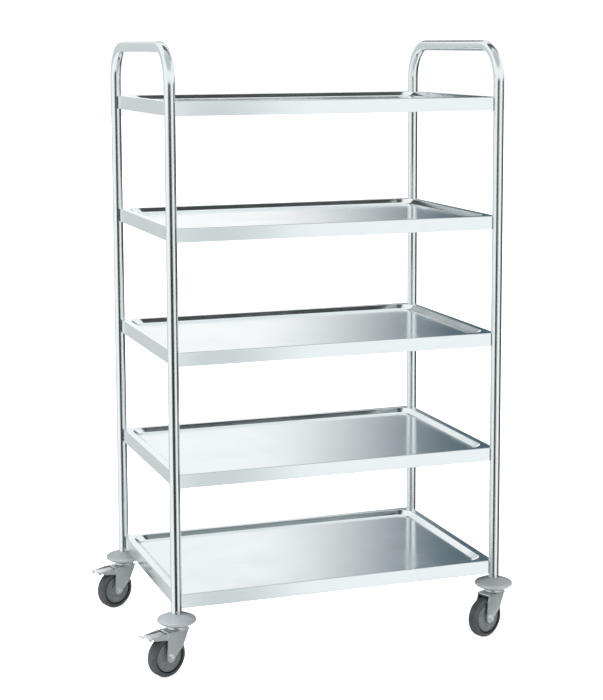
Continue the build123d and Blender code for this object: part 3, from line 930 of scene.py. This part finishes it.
def pedal(corner):
    """The brake's foot pedal with a ribbed tread, turned-down cheeks, a hub and the shoe below it."""
    matrix = caster_frame(corner)
    pivot = matrix.inverted() @ Vector(joints["brake_press_" + corner]["pos_m"])
    axle = matrix.inverted() @ Vector(joints["roll_" + corner]["pos_m"])
    bm = bmesh.new()
    tread(bm)
    for side in (-1, 1):
        slab(bm, scaled(CHEEK_OUTLINE), [side * face for face in CHEEK_FACES])
    hub = arc((pivot.x, pivot.z), HUB_RADIUS, 0, 360, HUB_FACETS)[:-1]
    slab(bm, hub, (-HUB_HALF_WIDTH, HUB_HALF_WIDTH))
    slab(bm, shoe_outline((axle.x, axle.z)), (-SHOE_HALF_WIDTH, SHOE_HALF_WIDTH))
    slab(bm, scaled(WEB_OUTLINE), (-WEB_HALF_WIDTH, WEB_HALF_WIDTH))
    piece = finish_mesh("foot_pedal_" + corner, bm, [BRIGHT_ZINC], matrix=matrix)
    soften_edges(piece, 0.3 * MM)
    place(piece, "brake_" + corner, ["brake_pedal_" + corner])


# ---- CAD nodes that keep their shape ----
def paint_nodes():
    """Gives each carried-over CAD node its material, by the start of its name."""
    finishes = {"stem_": ZINC, "kingpins": ZINC, "bearing_balls_": BALL_STEEL, "wheel_sleeve_": BRIGHT_ZINC,
                "brake_pivot_": BRIGHT_ZINC, "stem_screws": BRIGHT_ZINC, "welds_": WELD}
    for name, node in frame["nodes"].items():
        for start, material in finishes.items():
            if name.startswith(start):
                node.data.materials.clear()
                node.data.materials.append(material)


# ---- Studio ----
FLOOR_HALF = 30               # metres
FLOOR_DROP = 0.0002           # keeps the floor just under the tyres
CARD_TINT = (0.98, 1.02, 1.02)
PLAIN_SPLIT = -0.15           # where the dull card under a caster starts, in y from its swivel axis
BRAKED_SPLIT = -0.13


def studio_floor():
    """A white floor that reflections do not see."""
    corners = ((-1, -1), (1, -1), (1, 1), (-1, 1))
    bm = bmesh.new()
    bm.faces.new([bm.verts.new((FLOOR_HALF * x, FLOOR_HALF * y, 0)) for x, y in corners])
    made = Shader("studio_floor_white", (0.93, 0.93, 0.93), roughness=0.9)
    made.colours_from(made.noise(0.6, detail=2), (0.925, 0.925, 0.925), (0.935, 0.935, 0.935))
    made.surface.inputs["Emission Color"].default_value = (1, 1, 1, 1)
    made.surface.inputs["Emission Strength"].default_value = 0.6
    floor = finish_mesh("studio_floor", bm, [made.material])
    floor.location.z = -FLOOR_DROP
    floor.visible_glossy = False


def card_cover(tree, fade):
    """How much of a card is there: it softens from each edge over a share of its size.
    fade holds these shares for the left, right, bottom and top."""
    where = tree.nodes.new("ShaderNodeTexCoord")
    split = tree.nodes.new("ShaderNodeSeparateXYZ")
    tree.links.new(where.outputs["UV"], split.inputs["Vector"])
    cover = None
    for axis, edge, share in zip("XXYY", (0.0, 1.0, 0.0, 1.0), fade):
        ramp = tree.nodes.new("ShaderNodeMapRange")
        ramp.interpolation_type = "SMOOTHSTEP"
        ramp.inputs["From Min"].default_value = edge
        ramp.inputs["From Max"].default_value = abs(edge - share)
        tree.links.new(split.outputs[axis], ramp.inputs["Value"])
        if not cover:
            cover = ramp.outputs["Result"]
            continue
        both = tree.nodes.new("ShaderNodeMath")
        both.operation = "MULTIPLY"
        tree.links.new(cover, both.inputs[0])
        tree.links.new(ramp.outputs["Result"], both.inputs[1])
        cover = both.outputs["Value"]
    return cover


def card_material(name, level, fade):
    """An even glow of a grey level or a colour, clear where the card fades away."""
    material = bpy.data.materials.new(name)
    material.use_nodes = True
    tree = material.node_tree
    tree.nodes.clear()
    glow = tree.nodes.new("ShaderNodeEmission")
    colour = level if isinstance(level, tuple) else tuple(level * tint for tint in CARD_TINT)
    glow.inputs["Color"].default_value = (*colour, 1)
    clear = tree.nodes.new("ShaderNodeBsdfTransparent")
    mix = tree.nodes.new("ShaderNodeMixShader")
    output = tree.nodes.new("ShaderNodeOutputMaterial")
    mix.inputs["Fac"].default_value = 1.0
    if fade:
        tree.links.new(card_cover(tree, fade), mix.inputs["Fac"])
    tree.links.new(clear.outputs["BSDF"], mix.inputs[1])
    tree.links.new(glow.outputs["Emission"], mix.inputs[2])
    tree.links.new(mix.outputs["Shader"], output.inputs["Surface"])
    return material


def card(name, corners, level, fade):
    """A studio flag or bounce card that only reflections see."""
    bm = bmesh.new()
    bm.faces.new([bm.verts.new(corner) for corner in corners])
    uv = bm.loops.layers.uv.new("card")
    bm.faces.ensure_lookup_table()
    for loop, place_on_card in zip(bm.faces[0].loops, ((0, 0), (1, 0), (1, 1), (0, 1))):
        loop[uv].uv = place_on_card
    made = finish_mesh(name, bm, [card_material(name, level, fade)])
    made.visible_camera = False
    made.visible_diffuse = False
    made.visible_shadow = False
    made.visible_transmission = False


def upright_card(name, start, end, low, high, level, fade=None):
    corners = [(*start, low), (*end, low), (*end, high), (*start, high)]
    card(name, corners, level, fade)


def level_card(name, low, high, height, level, fade=None):
    corners = [(*low, height), (high[0], low[1], height), (*high, height), (low[0], high[1], height)]
    card(name, corners, level, fade)


def bearing(degrees, distance):
    """A place on the floor in a compass direction: 0 is behind the trolley (+Y), 90 is to its right (+X)."""
    return (distance * sin(radians(degrees)), distance * cos(radians(degrees)))


def softbox(name, location, target, size, energy):
    """A rectangular lamp that reflections do not see."""
    light = bpy.data.lights.new(name, "AREA")
    light.energy = energy
    light.shape = "RECTANGLE"
    light.size, light.size_y = size
    lamp = bpy.data.objects.new(name, light)
    lamp.location = location
    lamp.rotation_euler = (Vector(target) - lamp.location).to_track_quat("-Z", "Y").to_euler()
    lamp.visible_glossy = False
    bpy.context.scene.collection.objects.link(lamp)


def flags():
    """The large cards round the trolley. The first three numbers after the ends are the lower edge,
    the upper edge and the level; the last four are the fades."""
    upright_card("flag_front", bearing(236, 6), bearing(172, 6), -3, 2.2, 0.03, (0.3, 0.06, 0.01, 0.12))
    upright_card("apron_flag", (0.02, -1.9), (0.5, -1.9), -0.8, 1.5, 0.75, (0.15, 0.6, 0.01, 0.1))
    blue_grey = (0.07, 0.12, 0.15)
    upright_card("flag_right", bearing(16, 9), bearing(36, 9), -4, 4.8, blue_grey, (0.62, 0.1, 0.01, 0.1))
    upright_card("flag_side", bearing(34, 9), bearing(126, 9), -4, 2.0, 0.06, (0.05, 0.12, 0.01, 0.1))
    upright_card("flag_left", bearing(-62, 9), bearing(10, 9), -4, 4.1, 0.7, (0.25, 0.25, 0.01, 0.06))
    upright_card("flag_back_high", bearing(-2, 9), bearing(24, 9), 3.9, 6.4, 0.06, (0.25, 0.2, 0.15, 0.2))
    upright_card("flag_behind_low", bearing(2, 9.2), bearing(52, 9.2), -5, -0.5, 0.25, (0.2, 0.1, 0.01, 0.1))
    level_card("flag_overhead_front", (-3, -4), (3, 0.4), 4.0, 0.6, (0.2, 0.2, 0.3, 0.2))
    level_card("flag_overhead_back", (-0.6, 0.12), (2.8, 1.1), 3.2, 0.06)


def bounce_cards(corner):
    """Two small cards just below the floor that light the caster's metal from under and before it."""
    braked = corner in BRAKED_CORNERS
    under = caster_frame(corner).to_translation()
    split = under.y + (BRAKED_SPLIT if braked else PLAIN_SPLIT)
    bright, dull = (0.5, 0.4) if braked else (0.7, 0.15)
    left, right = under.x - 0.12, under.x + 0.5
    level_card("bounce_under_" + corner, (left, split), (right, under.y + 0.15), -0.05, bright)
    level_card("bounce_before_" + corner, (left, under.y - 0.4), (right, split), -0.05, dull)


def studio():
    """A white room, a white floor, the cards and three soft lamps."""
    scene = bpy.context.scene
    world = bpy.data.worlds.new("white_studio")
    scene.world = world
    world.use_nodes = True
    background = world.node_tree.nodes["Background"]
    background.inputs["Color"].default_value = (1.0, 1.0, 1.0, 1)
    background.inputs["Strength"].default_value = 1.05
    scene.view_settings.view_transform = "Standard"
    scene.view_settings.look = "None"
    studio_floor()
    flags()
    for corner in CORNERS:
        bounce_cards(corner)
    softbox("key_softbox", (-2.6, -1.9, 2.6), (-0.2, 0, 0.5), (2.2, 1.8), 45)
    softbox("left_caster_fill", (-1.3, -0.4, 1.0), (-0.42, -0.1, 0.12), (0.7, 0.7), 24)
    softbox("wheel_fill", (1.0, -1.5, 0.12), (0.42, -0.27, 0.05), (0.5, 0.2), 18)


# ---- Camera ----
CAMERA_PLACE = (-1.4309, -4.1131, 1.4964)
CAMERA_YAW = 0.33408          # radians to the right of +Y
CAMERA_PITCH = 0.12987        # radians below the horizon
CAMERA_ROLL = -0.00374
FOCAL_LENGTH = 88.74          # for a 36 mm sensor on the long side
CAMERA_SHIFT = -0.12          # part of the photograph's shift; more would push other views off the frame


def camera():
    """The photograph's viewpoint and framing."""
    data = bpy.data.cameras.new("photo_camera")
    data.sensor_width = 36
    data.lens = FOCAL_LENGTH
    data.shift_y = CAMERA_SHIFT
    data.dof.use_dof = False
    data.clip_end = 100
    rig = bpy.data.objects.new("photo_camera", data)
    bpy.context.scene.collection.objects.link(rig)
    level = cos(CAMERA_PITCH)
    forward = Vector((sin(CAMERA_YAW) * level, cos(CAMERA_YAW) * level, -sin(CAMERA_PITCH)))
    flat_right = forward.cross(Vector((0, 0, 1))).normalized()
    flat_up = flat_right.cross(forward)
    right = cos(CAMERA_ROLL) * flat_right + sin(CAMERA_ROLL) * flat_up
    up = cos(CAMERA_ROLL) * flat_up - sin(CAMERA_ROLL) * flat_right
    turn = Matrix((right, up, -forward)).transposed().to_4x4()
    rig.matrix_world = Matrix.Translation(CAMERA_PLACE) @ turn
    bpy.context.scene.camera = rig


# ---- Making ----
camera()
studio()
for side in SIDES:
    end_frame(side)
for node in TRAYS:
    tray(node)
for corner in CORNERS:
    bumper(corner)
    swivel_race(corner)
    fork(corner)
    axle_nut(corner)
    axle_bolt(corner)
    wheel_centre(corner)
    tyre(corner)
for corner in BRAKED_CORNERS:
    pedal(corner)
paint_nodes()
